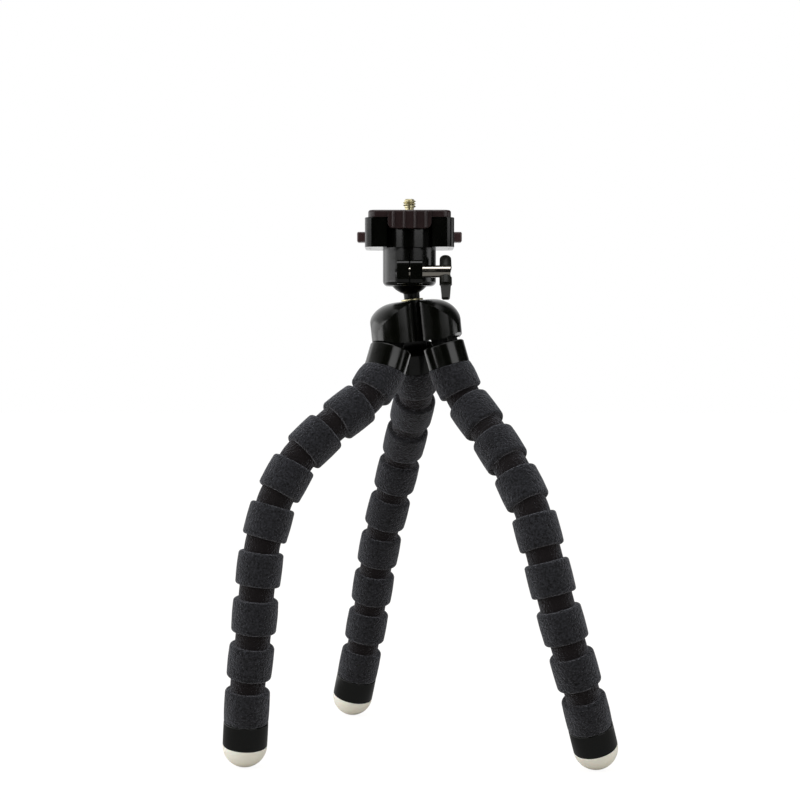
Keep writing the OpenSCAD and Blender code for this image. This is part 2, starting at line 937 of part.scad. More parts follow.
// A coil spring between the rib and a button's flange
spring_start = rib_x + spring_wire_r + glue_gap;
spring_end = flange_x - flange_t - spring_wire_r - glue_gap;
function spring_ring(i) =
  let (
    a = 360 * i / spring_steps,
    x = spring_start + (spring_end - spring_start) * i / (spring_turns * spring_steps),
    out = [0, cos(a), sin(a)]
  )
  [
    for (k = [0 : spring_sides - 1])
      let (b = 360 * k / spring_sides)
        [x, 0, 0] + out * (spring_r + spring_wire_r * cos(b)) + [spring_wire_r * sin(b), 0, 0]
  ];

module button_spring(side) {
  rings = [for (i = [0 : spring_turns * spring_steps]) spring_ring(i)];
  color("#b4b6b8")
    level()
      translate([0, 0, button_mid])
        rotate([0, 0, side < 0 ? 180 : 0])
          tube_through(rings, spring_sides);
}

// Plate and camera screw

tab_outline = concat(
  [[-tab_w / 2, 0], [tab_w / 2, 0]],
  arc([tab_w / 2 - tab_round, tab_round - tab_h], tab_round, 0, -90, arc_steps),
  arc([tab_round - tab_w / 2, tab_round - tab_h], tab_round, 270, 180, arc_steps)
);

module release_plate() {
  color("#2e2322")
    level()
      difference() {
        union() {
          translate([0, 0, holder_top + glue_gap])
            linear_extrude(plate_h - glue_gap)
              polygon(rounded(plate_w, plate_d, plate_round));
          translate([-boss_x, boss_front, boss_low + glue_gap])
            cube([2 * boss_x, boss_back - boss_front, holder_top + overlap - boss_low]);
          translate([0, tab_front + tab_t, plate_top])
            rotate([90, 0, 0])
              linear_extrude(tab_t)
                polygon(tab_outline);
          for (i = [0 : tab_ridges - 1])
            translate([(i - (tab_ridges - 1) / 2) * ridge_pitch, tab_front, plate_top - tab_h])
              cylinder(r = ridge_r, h = tab_h);
        }
        for (side = [-1, 1])
          translate([side * boss_x - latch_deep, boss_front - overlap, boss_low + latch_up])
            cube([2 * latch_deep, boss_back - boss_front + 2 * overlap, latch_h]);
        translate([0, 0, boss_low])
          cylinder(r = screw_hole_r, h = holder_h);
        translate([0, 0, boss_low - overlap])
          cylinder(r = screw_head_r + loose_gap, h = holder_top - boss_low + overlap);
      }
}

module camera_screw() {
  tip = plate_top + neck_len + thread_len;
  head_top = holder_top - head_play;
  color("#c0a865")
    level()
      difference() {
        rotate_extrude()
          polygon([
            [0, head_top - screw_head_h],
            [screw_head_r, head_top - screw_head_h],
            [screw_head_r, head_top],
            [screw_neck_r, head_top],
            [screw_neck_r, plate_top + neck_len],
            [thread_r, plate_top + neck_len],
            [thread_r, tip - screw_edge],
            [thread_r - screw_edge, tip],
            [0, tip],
          ]);
        translate([-screw_head_r - overlap, -coin_slot_w / 2, head_top - screw_head_h - overlap])
          cube([2 * (screw_head_r + overlap), coin_slot_w, coin_slot_deep + overlap]);
      }
}

// Names of the nodes
leg_names = [for (leg = leg_numbers) LEGS[leg][0]];

release_plate();
camera_screw();
plate_holder();
holder_base();
holder_screws();
release_button(-1);  // release_button_left
release_button(1);  // release_button_right
button_spring(-1);  // button_spring_left
button_spring(1);  // button_spring_right
ball_clamp();
clamp_screw();
clamp_lever();
clamp_nut();
ball_stud();
stud_washer();
stud_nut();
hub_shell();
hub_cover();
cover_screws();
leg_pins();
for (leg = leg_numbers) {
  leg_socket(leg);
  core_wire(leg);
  end_cap(leg);
  foot_tip(leg);
  first_ring(leg);
  for (ring = [2 : ring_count])
    foam_ring(leg, ring);
}
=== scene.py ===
import bpy
import bmesh
import json
import math
from mathutils import Matrix, Vector, noise


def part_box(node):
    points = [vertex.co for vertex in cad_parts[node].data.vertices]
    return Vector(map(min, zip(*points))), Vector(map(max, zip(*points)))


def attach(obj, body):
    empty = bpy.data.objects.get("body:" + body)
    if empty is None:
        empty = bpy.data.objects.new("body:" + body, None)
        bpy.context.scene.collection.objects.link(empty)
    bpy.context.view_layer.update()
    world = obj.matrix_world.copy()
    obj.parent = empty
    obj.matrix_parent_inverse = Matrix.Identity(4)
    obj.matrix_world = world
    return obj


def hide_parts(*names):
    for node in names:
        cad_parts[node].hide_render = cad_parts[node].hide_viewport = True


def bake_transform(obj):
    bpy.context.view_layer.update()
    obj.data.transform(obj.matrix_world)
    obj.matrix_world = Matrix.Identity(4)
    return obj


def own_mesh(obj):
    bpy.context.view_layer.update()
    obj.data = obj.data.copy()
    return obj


# A flexible leg tripod: foam-ringed legs, a lobed hub, a clamped ball and a quick-release plate.
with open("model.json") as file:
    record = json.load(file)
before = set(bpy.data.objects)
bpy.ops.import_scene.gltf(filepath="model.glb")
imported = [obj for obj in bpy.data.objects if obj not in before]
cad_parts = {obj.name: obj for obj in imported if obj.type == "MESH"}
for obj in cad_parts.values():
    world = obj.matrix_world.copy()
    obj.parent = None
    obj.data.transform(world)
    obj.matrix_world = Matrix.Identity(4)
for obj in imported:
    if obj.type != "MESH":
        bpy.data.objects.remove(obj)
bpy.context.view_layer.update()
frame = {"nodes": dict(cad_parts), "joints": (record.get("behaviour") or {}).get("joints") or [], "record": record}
mm = 0.001
legNames = ["left", "right", "back"]
ringCount = 9
joints = {joint["name"]: joint for joint in frame["joints"]}
print("frame loaded with", len(frame["nodes"]), "nodes")


def linear(hexCode):
    channels = [int(hexCode[i:i + 2], 16) / 255 for i in (1, 3, 5)]
    return [c / 12.92 if c <= 0.04045 else ((c + 0.055) / 1.055) ** 2.4 for c in channels] + [1.0]


# Settings and links go by a socket's name or number, or by a property's name
def addNode(tree, kind, settings=None, links=None):
    node = tree.nodes.new(kind)
    for key, value in (settings or {}).items():
        if isinstance(key, int) or key in node.inputs:
            node.inputs[key].default_value = value
        else:
            setattr(node, key, value)
    for key, socket in (links or {}).items():
        tree.links.new(socket, node.inputs[key])
    return node


mixFirst = 6  # colour sockets of a Mix node, which shares its names with other kinds
mixSecond = 7
mixResult = 2


def newMaterial(name, settings):
    material = bpy.data.materials.new(name)
    material.use_nodes = True
    tree = material.node_tree
    shader = tree.nodes["Principled BSDF"]
    for key, value in settings.items():
        shader.inputs[key].default_value = value
    coords = addNode(tree, "ShaderNodeTexCoord").outputs["Object"]
    return material, tree, shader, coords


def perMetre(sizeInMm):
    return 1 / (sizeInMm * mm)


# Closed-cell NBR foam, ground to size: a dull charcoal skin of burst cells with short wrinkles and
# a soft sheen, grey on the rings' walls, with painted shade that makes the grooves nearly black
def foamMaterial():
    look = {
        # the near-black colour is painted shade for the grooves: the rings' end faces and the necks
        "deep": "#0b0b0c", "worn": "#323338", "cut": "#181415", "sheen": "#c9ccd6",
        "cell": 0.7, "wrinkle": 1.0, "patch": 14.0, "cellDepth": 0.3, "wrinkleDepth": 1.25,
        "patchShare": 0.12, "deepAt": 0.38, "wornAt": 0.74,
    }
    material, tree, shader, coords = newMaterial("nbrFoam", {
        "Roughness": 0.95, "IOR": 1.45, "Specular IOR Level": 0.25,
        "Sheen Weight": 0.55, "Sheen Roughness": 0.3, "Sheen Tint": linear(look["sheen"]),
    })
    patches = addNode(tree, "ShaderNodeTexNoise", {
        "Scale": perMetre(look["patch"]), "Detail": 2.0,
    }, {"Vector": coords})
    cells = addNode(tree, "ShaderNodeTexVoronoi", {"Scale": perMetre(look["cell"])}, {"Vector": coords})
    wrinkles = addNode(tree, "ShaderNodeTexNoise", {
        "Scale": perMetre(look["wrinkle"]), "Detail": 3.0, "Roughness": 0.6, "Distortion": 0.25,
    }, {"Vector": coords})
    grain = addNode(tree, "ShaderNodeMath", {"operation": "MULTIPLY_ADD", 1: look["patchShare"]}, {
        0: patches.outputs[0], 2: wrinkles.outputs[0],
    })
    spread = addNode(tree, "ShaderNodeMapRange", {
        "From Min": look["deepAt"], "From Max": look["wornAt"],
    }, {"Value": grain.outputs[0]})
    colour = addNode(tree, "ShaderNodeMix", {
        "data_type": "RGBA", mixFirst: linear(look["deep"]), mixSecond: linear(look["worn"]),
    }, {0: spread.outputs[0]})
    # painted shade: where this mask is 0, on the rings' end faces and on the necks, the near-black colour is used
    unshadedWall = addNode(tree, "ShaderNodeAttribute", {"attribute_name": "unshadedWall"})
    skin = addNode(tree, "ShaderNodeMix", {"data_type": "RGBA", mixFirst: linear(look["cut"])}, {
        0: unshadedWall.outputs["Fac"], mixSecond: colour.outputs[mixResult],
    })
    tree.links.new(skin.outputs[mixResult], shader.inputs["Base Color"])
    cellBump = addNode(tree, "ShaderNodeBump", {
        "Strength": 0.5, "Distance": look["cellDepth"] * mm,
    }, {"Height": cells.outputs[0]})
    wrinkleBump = addNode(tree, "ShaderNodeBump", {
        "Strength": 1.0, "Distance": look["wrinkleDepth"] * mm,
    }, {"Height": wrinkles.outputs[0], "Normal": cellBump.outputs[0]})
    tree.links.new(wrinkleBump.outputs[0], shader.inputs["Normal"])
    return material


# Injection-moulded nylon from a polished tool: deep black with a faint olive cast, duller where hands rub it
def glossNylon(name, hexCode, roughness):
    look = {"ripple": 6.0, "rippleDepth": 0.05, "scuff": 9.0, "polish": 0.03, "wear": 0.05}
    material, tree, shader, coords = newMaterial(name, {"Base Color": linear(hexCode), "IOR": 1.53})
    ripple = addNode(tree, "ShaderNodeTexNoise", {
        "Scale": perMetre(look["ripple"]), "Detail": 1.0,
    }, {"Vector": coords})
    scuffs = addNode(tree, "ShaderNodeTexNoise", {
        "Scale": perMetre(look["scuff"]), "Detail": 5.0,
    }, {"Vector": coords})
    dull = addNode(tree, "ShaderNodeMapRange", {
        "From Min": 0.35, "From Max": 0.7,
        "To Min": roughness - look["polish"], "To Max": roughness + look["wear"],
    }, {"Value": scuffs.outputs[0]})
    tree.links.new(dull.outputs[0], shader.inputs["Roughness"])
    bump = addNode(tree, "ShaderNodeBump", {
        "Strength": 0.06, "Distance": look["rippleDepth"] * mm,
    }, {"Height": ripple.outputs[0]})
    tree.links.new(bump.outputs[0], shader.inputs["Normal"])
    return material


# Spark-eroded ABS, or nylon for the lever: a fine even grain, too fine to show at its real 0.1 mm,
# so it is drawn at 0.35 mm
def grainedAbs(name, hexCode, paleHex, roughness):
    look = {"grain": 0.35, "grainDepth": 0.04, "cloud": 12.0, "dullness": 0.05}
    material, tree, shader, coords = newMaterial(name, {"IOR": 1.54})
    grain = addNode(tree, "ShaderNodeTexNoise", {
        "Scale": perMetre(look["grain"]), "Detail": 2.0,
    }, {"Vector": coords})
    cloud = addNode(tree, "ShaderNodeTexNoise", {
        "Scale": perMetre(look["cloud"]), "Detail": 3.0,
    }, {"Vector": coords})
    colour = addNode(tree, "ShaderNodeMix", {
        "data_type": "RGBA", mixFirst: linear(hexCode), mixSecond: linear(paleHex),
    }, {0: cloud.outputs[0]})
    tree.links.new(colour.outputs[mixResult], shader.inputs["Base Color"])
    dull = addNode(tree, "ShaderNodeMapRange", {
        "From Min": 0.3, "From Max": 0.7,
        "To Min": roughness - look["dullness"], "To Max": roughness + look["dullness"],
    }, {"Value": grain.outputs[0]})
    tree.links.new(dull.outputs[0], shader.inputs["Roughness"])
    bump = addNode(tree, "ShaderNodeBump", {
        "Strength": 0.15, "Distance": look["grainDepth"] * mm,
    }, {"Height": grain.outputs[0]})
    tree.links.new(bump.outputs[0], shader.inputs["Normal"])
    return material


# Moulded TPR rubber: creamy white, satin, with a little grime
def tipRubber():
    look = {"clean": "#f5f4ea", "grimy": "#ebe8db", "cloud": 7.0, "tooth": 0.4, "toothDepth": 0.05}
    material, tree, shader, coords = newMaterial("tprRubber", {
        "Roughness": 0.5, "IOR": 1.5, "Subsurface Weight": 0.08, "Subsurface Scale": 1.5 * mm,
    })
    cloud = addNode(tree, "ShaderNodeTexNoise", {
        "Scale": perMetre(look["cloud"]), "Detail": 4.0,
    }, {"Vector": coords})
    colour = addNode(tree, "ShaderNodeMix", {
        "data_type": "RGBA", mixFirst: linear(look["clean"]), mixSecond: linear(look["grimy"]),
    }, {0: cloud.outputs[0]})
    tree.links.new(colour.outputs[mixResult], shader.inputs["Base Color"])
    tooth = addNode(tree, "ShaderNodeTexNoise", {
        "Scale": perMetre(look["tooth"]), "Detail": 2.0,
    }, {"Vector": coords})
    bump = addNode(tree, "ShaderNodeBump", {
        "Strength": 0.15, "Distance": look["toothDepth"] * mm,
    }, {"Height": tooth.outputs[0]})
    tree.links.new(bump.outputs[0], shader.inputs["Normal"])
    return material


# Turned, drawn or plated metal: fine tool marks, of a size in millimetres, break up the shine
def turnedMetal(name, hexCode, roughness, mark):
    look = {"markDepth": 0.02, "polish": 0.05, "wear": 0.1}
    material, tree, shader, coords = newMaterial(name, {"Base Color": linear(hexCode), "Metallic": 1.0})
    marks = addNode(tree, "ShaderNodeTexNoise", {
        "Scale": perMetre(mark), "Detail": 4.0,
    }, {"Vector": coords})
    dull = addNode(tree, "ShaderNodeMapRange", {
        "From Min": 0.3, "From Max": 0.7,
        "To Min": roughness - look["polish"], "To Max": roughness + look["wear"],
    }, {"Value": marks.outputs[0]})
    tree.links.new(dull.outputs[0], shader.inputs["Roughness"])
    bump = addNode(tree, "ShaderNodeBump", {
        "Strength": 0.1, "Distance": look["markDepth"] * mm,
    }, {"Height": marks.outputs[0]})
    tree.links.new(bump.outputs[0], shader.inputs["Normal"])
    return material


finishes = {
    "foam": foamMaterial(),
    "gloss_black": glossNylon("polishedNylon", "#050603", 0.2),
    "satin_black": glossNylon("satinNylon", "#030402", 0.18),  # the holder, a shade blacker
    "maroon_black": grainedAbs("grainedAbs", "#1f1415", "#2c1b1b", 0.32),
    "tip_white": tipRubber(),
    "brass": turnedMetal("turnedBrass", "#d2c9a2", 0.3, 1.2),  # pale and a little greenish
    "nickel": turnedMetal("nickelPlate", "#d8d2c6", 0.14, 3.0),  # nearly a mirror
    "black_metal": turnedMetal("blackOxideSteel", "#2a2a29", 0.35, 1.5),  # a dark gleam
    "wire": turnedMetal("annealedAluminium", "#b9bbbd", 0.4, 0.8),  # soft and whitish
    "steel": turnedMetal("zincPlatedSteel", "#a9abac", 0.35, 1.0),  # plain grey fasteners
}
buttonAbs = grainedAbs("buttonAbs", "#3b2829", "#4a3233", 0.35)
leverNylon = grainedAbs("texturedNylon", "#10110b", "#1a1b14", 0.38)
slotOf = {entry["node"]: entry["material_slot"] for entry in frame["record"]["subparts"]}
for nodeName, nodeObject in frame["nodes"].items():
    nodeObject.data.materials.clear()
    nodeObject.data.materials.append(finishes[slotOf[nodeName]])
print("materials made:", len(finishes))


def makePiece(bm, name, slotName, replaced=(), smoothAngle=40):
    mesh = bpy.data.meshes.new(name)
    bm.to_mesh(mesh)
    bm.free()
    mesh.shade_smooth()
    mesh.set_sharp_from_angle(angle=math.radians(smoothAngle))
    mesh.materials.append(finishes[slotName])
    piece = bpy.data.objects.new(name, mesh)
    bpy.context.scene.collection.objects.link(piece)
    if replaced:
        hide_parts(*replaced)
    return piece


# Turns a profile of (radius, height) points in millimetres round the z axis
def spinProfile(profile, steps, closed=False):
    bm = bmesh.new()
    verts = [bm.verts.new((r * mm, 0, z * mm)) for r, z in profile]
    edges = [bm.edges.new(pair) for pair in zip(verts, verts[1:])]
    if closed:
        edges.append(bm.edges.new((verts[-1], verts[0])))
    bmesh.ops.spin(bm, geom=verts + edges, cent=(0, 0, 0), axis=(0, 0, 1), dvec=(0, 0, 0),
                   angle=2 * math.pi, steps=steps, use_merge=True, use_duplicate=False)
    bmesh.ops.remove_doubles(bm, verts=bm.verts, dist=1e-7)
    bmesh.ops.recalc_face_normals(bm, faces=bm.faces)
    return bm


def arcPoints(r, z, radius, start, end, count):
    turns = [math.radians(start + (end - start) * i / count) for i in range(count + 1)]
    return [(r + radius * math.cos(t), z + radius * math.sin(t)) for t in turns]


# Places a piece made about the z axis: top at a point, running down the leg
def downLeg(top, down):
    return Matrix.Translation(top) @ (-down).to_track_quat("Z", "Y").to_matrix().to_4x4()


# A CAD node's loose triangles, joined and with its flat faces made whole
def mergedCopy(nodeName):
    bm = bmesh.new()
    bm.from_mesh(frame["nodes"][nodeName].data)
    bmesh.ops.remove_doubles(bm, verts=bm.verts, dist=2e-6)
    bmesh.ops.dissolve_limit(bm, angle_limit=math.radians(0.4), use_dissolve_boundaries=False,
                             verts=bm.verts, edges=bm.edges, delimit={"NORMAL"})
    return bm


# The test for chosen edges gets the middle of an edge, in millimetres
def roundEdges(bm, radius, chosen=None, segments=3, sharpAngle=30):
    sharp = [e for e in bm.edges if e.is_manifold and e.calc_face_angle() > math.radians(sharpAngle)
             and (chosen is None or chosen((e.verts[0].co + e.verts[1].co) / 2 / mm))]
    bmesh.ops.bevel(bm, geom=sharp, offset=radius * mm, offset_type="OFFSET", segments=segments,
                    profile=0.5, affect="EDGES", clamp_overlap=True, material=-1)


# A copy of a CAD solid with its sharp edges rounded, as moulded parts have: the wide ones first,
# then the rest
def roundedCopy(nodeName, radius, wide=()):
    bm = mergedCopy(nodeName)
    for wideRadius, chosen in wide:
        roundEdges(bm, wideRadius, chosen, segments=4)
    roundEdges(bm, radius)
    return bm


# Keeps the flat faces beside a rounded edge flat to the eye
def weighNormals(piece):
    modifier = piece.modifiers.new("weighNormals", "WEIGHTED_NORMAL")
    modifier.keep_sharp = True
    return piece


def addMesh(bm, other):
    carrier = bpy.data.meshes.new("carrier")
    other.to_mesh(carrier)
    other.free()
    bm.from_mesh(carrier)
    bpy.data.meshes.remove(carrier)


# Camera: 950 mm in front of the hub, at the height of the leg sockets
cameraSet = {
    "place": (-4.75, -950, 205), "pitchDown": 1.5, "focalPixels": 1881, "imagePixels": 800,
    "sensor": 36, "nearest": 50,
}
cameraData = bpy.data.cameras.new("studioCamera")
cameraData.sensor_width = cameraSet["sensor"]
cameraData.lens = cameraSet["focalPixels"] / cameraSet["imagePixels"] * cameraSet["sensor"]
cameraData.clip_start = cameraSet["nearest"] * mm
camera = bpy.data.objects.new("studioCamera", cameraData)
camera.location = Vector(cameraSet["place"]) * mm
camera.rotation_euler = (math.radians(90 - cameraSet["pitchDown"]), 0, 0)
bpy.context.scene.collection.objects.link(camera)
bpy.context.scene.camera = camera
print("camera placed")


# Legs; lengths in millimetres
legForm = {
    "ringLength": 16.5, "ringRadius": 11.0, "innerRadius": 7.6, "edgeRadius": 1.5, "crown": 0.15,
    "firstLength": 14.6, "firstEdge": 0.5, "firstTaper": 0.4, "lastEdge": 1.0,
    # the last value below is the share of a ring's edge over which the painted groove shade fades
    "ringSteps": 72, "wallSteps": 10, "foamSmooth": 60, "grooveShadeFade": 0.7,
    "unevenness": 0.09, "unevenScale": 9.0,
    "grooveLength": 6.6, "neckRadius": 8.6, "neckOverlap": 1.2, "neckSides": 56, "neckSteps": 14,
    "wireRadius": 1.6, "wireStart": 10.2, "wireShort": 9.0, "wireSteps": 16,
    "wireTop": 0.866, "wireEnd": 0.85,  # shares of the radius at a length's ends
    "socketDrop": 17.2, "socketEdge": 0.4,
    "capLength": 12.0, "capEdge": 0.35, "capCrown": 0.04,
    "tipRadius": 11.0, "tipEdge": 0.3, "domeFrom": -4, "endSteps": 96,
}


def groovePoint(leg, groove):
    match = [j for n, j in joints.items() if n.startswith(f"bend_{leg}_{groove}_")]
    return Vector(match[0]["pos_m"])


# The tip's ball touches its box on the sides that the leg points to
def tipCentre(leg, before):
    low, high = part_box(f"foot_tip_{leg}")
    way = (low + high) / 2 - before
    reach = legForm["tipRadius"] * mm
    return Vector([high[i] - reach if way[i] > 0 else low[i] + reach for i in range(3)])


# Middle of a socket's lower face, where the foam bends outwards: the socket hangs from its pin, splayed
# from the hub's axis, and at the splay's lower limit it would hang along that axis
def elbowPoint(leg):
    splay = joints[f"splay_{leg}"]
    hubDown = -Vector(joints["head_pan"]["axis"])
    down = Matrix.Rotation(-math.radians(splay["range_deg"][0]), 3, Vector(splay["axis"])) @ hubDown
    return Vector(splay["pos_m"]) + down * legForm["socketDrop"] * mm


# Start and end of each stretch: hinge pin, elbow, groove centres, tip centre
def legPoints(leg):
    points = [Vector(joints[f"splay_{leg}"]["pos_m"]), elbowPoint(leg)]
    points += [groovePoint(leg, groove) for groove in range(1, ringCount)]
    points.append(tipCentre(leg, points[-1]))
    return points


# Hand-ground foam is never quite even
def roughen(bm, amount, scale):
    bm.normal_update()
    for vert in bm.verts:
        vert.co += vert.normal * amount * mm * noise.noise(vert.co * perMetre(scale))


# The first ring narrows towards its socket, and has a smaller edge there, as the last ring has at its cap
def ringProfile(ring):
    f = legForm
    length = f["firstLength"] if ring == 1 else f["ringLength"]
    reach = f["ringRadius"]
    topEdge = f["firstEdge"] if ring == 1 else f["edgeRadius"]
    lowEdge = f["lastEdge"] if ring == ringCount else f["edgeRadius"]
    topReach = reach - f["firstTaper"] if ring == 1 else reach
    outer = arcPoints(topReach - topEdge, -topEdge, topEdge, 90, 0, count=6)
    lower = arcPoints(reach - lowEdge, lowEdge - length, lowEdge, 0, -90, count=6)
    wall = []
    for i in range(1, f["wallSteps"]):
        along = i / f["wallSteps"]
        z = outer[-1][1] + (lower[0][1] - outer[-1][1]) * along
        widened = (reach - topReach) * min(1, along * 3)  # full width a third of the way down
        wall.append((topReach + widened + f["crown"] * math.sin(math.pi * along), z))
    return [(f["innerRadius"], 0)] + outer + wall + lower + [(f["innerRadius"], -length)]


# At the elbow the first ring is squeezed on its outer side and stretched on its inner side,
# so that its top stays on the socket's face
def squeezeTop(bm, top, down, socketDown):
    for vert in bm.verts:
        offset = vert.co - top
        along = offset.dot(down)
        across = offset - down * along
        left = 1 - along / (legForm["firstLength"] * mm)
        vert.co -= down * left * across.dot(socketDown) / down.dot(socketDown)


# Marks how much of a ring's skin is free of the painted groove shade: all of its wall, none of its end faces
def markGrooveShade(bm):
    layer = bm.verts.layers.float.new("unshadedWall")
    inside = legForm["ringRadius"] - legForm["edgeRadius"]
    width = legForm["edgeRadius"] * legForm["grooveShadeFade"]
    for vert in bm.verts:
        vert[layer] = min(1, max(0, (vert.co.xy.length / mm - inside) / width))


def foamRing(leg, ring, start, down, downBefore):
    f = legForm
    drop = 0.0 if ring == 1 else f["grooveLength"] / 2
    top = start + down * drop * mm
    bm = spinProfile(ringProfile(ring), f["ringSteps"], closed=True)
    markGrooveShade(bm)
    bmesh.ops.transform(bm, matrix=downLeg(top, down), verts=bm.verts)
    if ring == 1:
        squeezeTop(bm, top, down, downBefore)
    roughen(bm, f["unevenness"], f["unevenScale"])
    piece = makePiece(bm, f"foamRing.{leg}.{ring}", "foam", [f"foam_ring_{leg}_{ring}"], f["foamSmooth"])
    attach(piece, f"leg_{leg}_{ring}")


# The foam at the bottom of a groove, curved from one ring's line to the next
def foamNeck(leg, groove, centre, downBefore, downAfter):
    f = legForm
    half = f["grooveLength"] / 2 * mm
    over = f["neckOverlap"] * mm
    first = centre - downBefore * half
    last = centre + downAfter * half
    stations = [(first, downBefore)]
    for i in range(1, f["neckSteps"]):
        t = i / f["neckSteps"]
        point = first * (1 - t) ** 2 + centre * 2 * t * (1 - t) + last * t ** 2
        stations.append((point, downBefore.lerp(downAfter, t).normalized()))
    stations += [(last, downAfter), (last + downAfter * over, downAfter)]
    before = downLeg(first - downBefore * over, downBefore)
    bm = bmesh.new()
    bmesh.ops.create_circle(bm, cap_ends=True, segments=f["neckSides"], radius=f["neckRadius"] * mm)
    bmesh.ops.transform(bm, matrix=before, verts=bm.verts)
    rim = bm.edges[:]
    for point, down in stations:
        now = downLeg(point, down)
        grown = bmesh.ops.extrude_edge_only(bm, edges=rim)["geom"]
        verts = [g for g in grown if isinstance(g, bmesh.types.BMVert)]
        rim = [g for g in grown if isinstance(g, bmesh.types.BMEdge)]
        bmesh.ops.transform(bm, matrix=now @ before.inverted(), verts=verts)
        before = now
    bmesh.ops.contextual_create(bm, geom=rim)
    bmesh.ops.recalc_face_normals(bm, faces=bm.faces)
    # with no mask, the whole neck takes the painted groove shade
    piece = makePiece(bm, f"foamNeck.{leg}.{groove}", "foam", smoothAngle=f["foamSmooth"])
    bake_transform(piece)


# The wire inside a leg, one length for each stretch, so that it bends with the leg
def wireLength(leg, stretch, start, end):
    f = legForm
    down = (end - start).normalized()
    length = (end - start).length / mm
    top = f["wireStart"] if stretch == 0 else 0.0
    low = length - f["wireShort"] if stretch == ringCount else length
    r = f["wireRadius"]
    taper = r / 2  # how far an end runs past its stretch
    profile = [(0, taper - top), (r * f["wireTop"], taper - top), (r, -top), (r, -low)]
    profile += [(r * f["wireEnd"], -low - taper), (0, -low - taper)]
    bm = spinProfile(profile, f["wireSteps"])
    bmesh.ops.transform(bm, matrix=downLeg(start, down), verts=bm.verts)
    replaced = [f"core_wire_{leg}"] if stretch == 0 else []
    piece = makePiece(bm, f"coreWire.{leg}.{stretch + 1}", "wire", replaced)
    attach(piece, f"leg_{leg}_{max(stretch, 1)}")


# Moulded cap with a small rounding at each end
def endCap(leg, centre, down):
    f = legForm
    r, length, edge = f["ringRadius"], f["capLength"], f["capEdge"]
    profile = [(0, length)] + arcPoints(r - edge, length - edge, edge, 90, 0, count=4)
    profile.append((r + f["capCrown"], length / 2))
    profile += arcPoints(r - edge, edge, edge, 0, -90, count=4) + [(0, 0)]
    bm = spinProfile(profile, f["endSteps"])
    bmesh.ops.transform(bm, matrix=downLeg(centre, down), verts=bm.verts)
    piece = makePiece(bm, f"endCap.{leg}", "gloss_black", [f"end_cap_{leg}"])
    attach(piece, f"leg_{leg}_{ringCount}")


def footTip(leg, centre, down):
    f = legForm
    r, edge = f["tipRadius"], f["tipEdge"]
    profile = [(0, 0)] + arcPoints(r - edge, -edge, edge, 90, 0, count=3)
    profile += arcPoints(0, 0, r, f["domeFrom"], -90, count=24)
    bm = spinProfile(profile, f["endSteps"])
    bmesh.ops.transform(bm, matrix=downLeg(centre, down), verts=bm.verts)
    piece = makePiece(bm, f"footTip.{leg}", "tip_white", [f"foot_tip_{leg}"])
    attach(piece, f"leg_{leg}_{ringCount}")


def legSocket(leg):
    nodeName = f"leg_socket_{leg}"
    bm = roundedCopy(nodeName, legForm["socketEdge"])
    piece = makePiece(bm, f"legSocket.{leg}", "gloss_black", [nodeName])
    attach(weighNormals(piece), f"leg_{leg}_1")


for leg in legNames:
    points = legPoints(leg)
    downs = [(b - a).normalized() for a, b in zip(points, points[1:])]
    for stretch in range(ringCount + 1):
        wireLength(leg, stretch, points[stretch], points[stretch + 1])
    for ring in range(1, ringCount + 1):
        foamRing(leg, ring, points[ring], downs[ring], downs[ring - 1])
    for groove in range(1, ringCount):
        foamNeck(leg, groove, points[groove + 1], downs[groove], downs[groove + 1])
    endCap(leg, points[-1], downs[-1])
    footTip(leg, points[-1], downs[-1])
    legSocket(leg)
print("legs made")


# Moulded parts of the hub and the head: the CAD solid with its own edge rounding, in millimetres
holderLow, holderHigh = [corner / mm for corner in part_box("plate_holder")]
plateLow, plateHigh = [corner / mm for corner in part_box("release_plate")]
near = 0.05  # an edge this close to a face lies on it
buttonOut = 1.0  # a button's outer edges are at least this far outside the holder
mouldedParts = {
    "hub_shell": {"name": "hubShell", "edge": 0.5, "body": "hub"},
    "hub_cover": {"name": "hubCover", "edge": 0.3, "body": "hub"},
    "ball_clamp": {"name": "ballClamp", "edge": 0.35, "body": "head"},
    "plate_holder": {
        "name": "plateHolder", "edge": 0.3, "body": "head",
        "wide": [
            (0.7, lambda at: abs(at.z - holderLow.z) < near),
            (0.5, lambda at: abs(at.z - holderHigh.z) < near),
        ],
    },
    "holder_base": {"name": "holderBase", "edge": 0.2, "body": "head"},
    "release_button_left": {
        "name": "releaseButton.left", "edge": 0.3, "body": "button_left", "material": buttonAbs,
        "wide": [(0.8, lambda at: at.x < holderLow.x - buttonOut)],
    },
    "release_button_right": {
        "name": "releaseButton.right", "edge": 0.3, "body": "button_right", "material": buttonAbs,
        "wide": [(0.8, lambda at: at.x > holderHigh.x + buttonOut)],
    },
    "clamp_lever": {"name": "clampLever", "edge": 0.4, "body": "lever", "material": leverNylon},
    "clamp_screw": {"name": "clampScrew", "edge": 0.35, "body": "lever"},
    "ball_stud": {"name": "ballStud", "edge": 0.8, "body": "stud"},
    "stud_washer": {"name": "studWasher", "edge": 0.25, "body": "hub"},
}
for nodeName, part in mouldedParts.items():
    bm = roundedCopy(nodeName, part["edge"], part.get("wide", ()))
    piece = makePiece(bm, part["name"], slotOf[nodeName], [nodeName])
    if "material" in part:
        piece.data.materials[0] = part["material"]
    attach(weighNormals(piece), part["body"])


# A button's coil spring, which shortens between the holder's rib and the button as the button goes in,
# is copied whole and rides with the head
for side, inner in (("left", 1), ("right", 0)):
    nodeName = f"button_spring_{side}"
    spring = makePiece(mergedCopy(nodeName), f"buttonSpring.{side}", slotOf[nodeName], [nodeName])
    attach(spring, "head")
    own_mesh(spring)
print("hub and head made")


